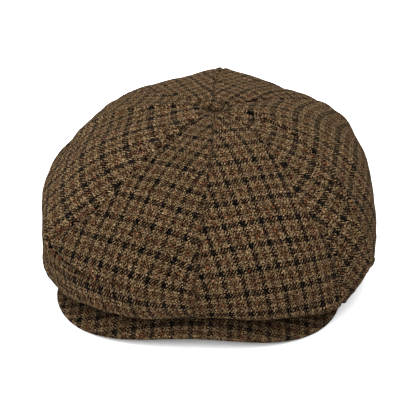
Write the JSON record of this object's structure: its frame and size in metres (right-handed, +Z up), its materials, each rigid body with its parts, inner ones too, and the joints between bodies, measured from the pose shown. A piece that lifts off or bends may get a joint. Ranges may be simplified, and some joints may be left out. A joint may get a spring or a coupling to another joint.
{
  "type": "newsboy cap",
  "caption": "Soft panelled check tweed cap with a full crown drawn forward over a short stiff visor, covered button, satin lining and leather sweatband.",
  "frame": {"origin": "Centre of the oval head opening, on the plane that the headband's rear edge rests on.", "axes": "+Z is up out of the crown, -Y is the front where the visor is, +Y is the back of the head, and +X is the side to the right of someone who looks at the visor."},
  "size_m": [0.2489, 0.2875, 0.1169],
  "materials": {
    "tweed": "wool twill in tan with a small check of black and rust stripes, softly napped, matte",
    "tweed_visor": "the same wool check, laid straight over a stiff visor",
    "lining_satin": "dark brown satin, soft sheen",
    "sweatband_leather": "thin dark brown leather, matte",
    "interlining_canvas": "stiff woven canvas",
    "visor_board_plastic": "plain moulded sheet",
    "fastener_steel": "dull nickel-plated pressed steel"
  },
  "bodies": {
    "crown": {"crown_panel_front_left": "tweed", "crown_panel_front_right": "tweed", "crown_panel_side_front_left": "tweed", "crown_panel_side_front_right": "tweed", "crown_panel_side_rear_left": "tweed", "crown_panel_side_rear_right": "tweed", "crown_panel_rear_left": "tweed", "crown_panel_rear_right": "tweed", "lining_panel_front_left": "lining_satin", "lining_panel_front_right": "lining_satin", "lining_panel_side_front_left": "lining_satin", "lining_panel_side_front_right": "lining_satin", "lining_panel_side_rear_left": "lining_satin", "lining_panel_side_rear_right": "lining_satin", "lining_panel_rear_left": "lining_satin", "lining_panel_rear_right": "lining_satin", "headband_interlining": "interlining_canvas", "sweatband": "sweatband_leather", "snap_socket": "fastener_steel", "button_cover": "tweed", "button_shell": "fastener_steel", "button_back_plate": "fastener_steel", "button_washer": "fastener_steel"},
    "visor": {"visor_top_cover": "tweed_visor", "visor_board": "visor_board_plastic", "visor_under_cover": "tweed_visor", "snap_stud": "fastener_steel"}
  },
  "joints": [
    {"name": "visor_tilt", "type": "hinge", "parent": "crown", "child": "visor", "pos_m": [0, -0.068, 0.01], "axis": [1, 0, 0], "range_deg": [0, 10]}
  ]
}
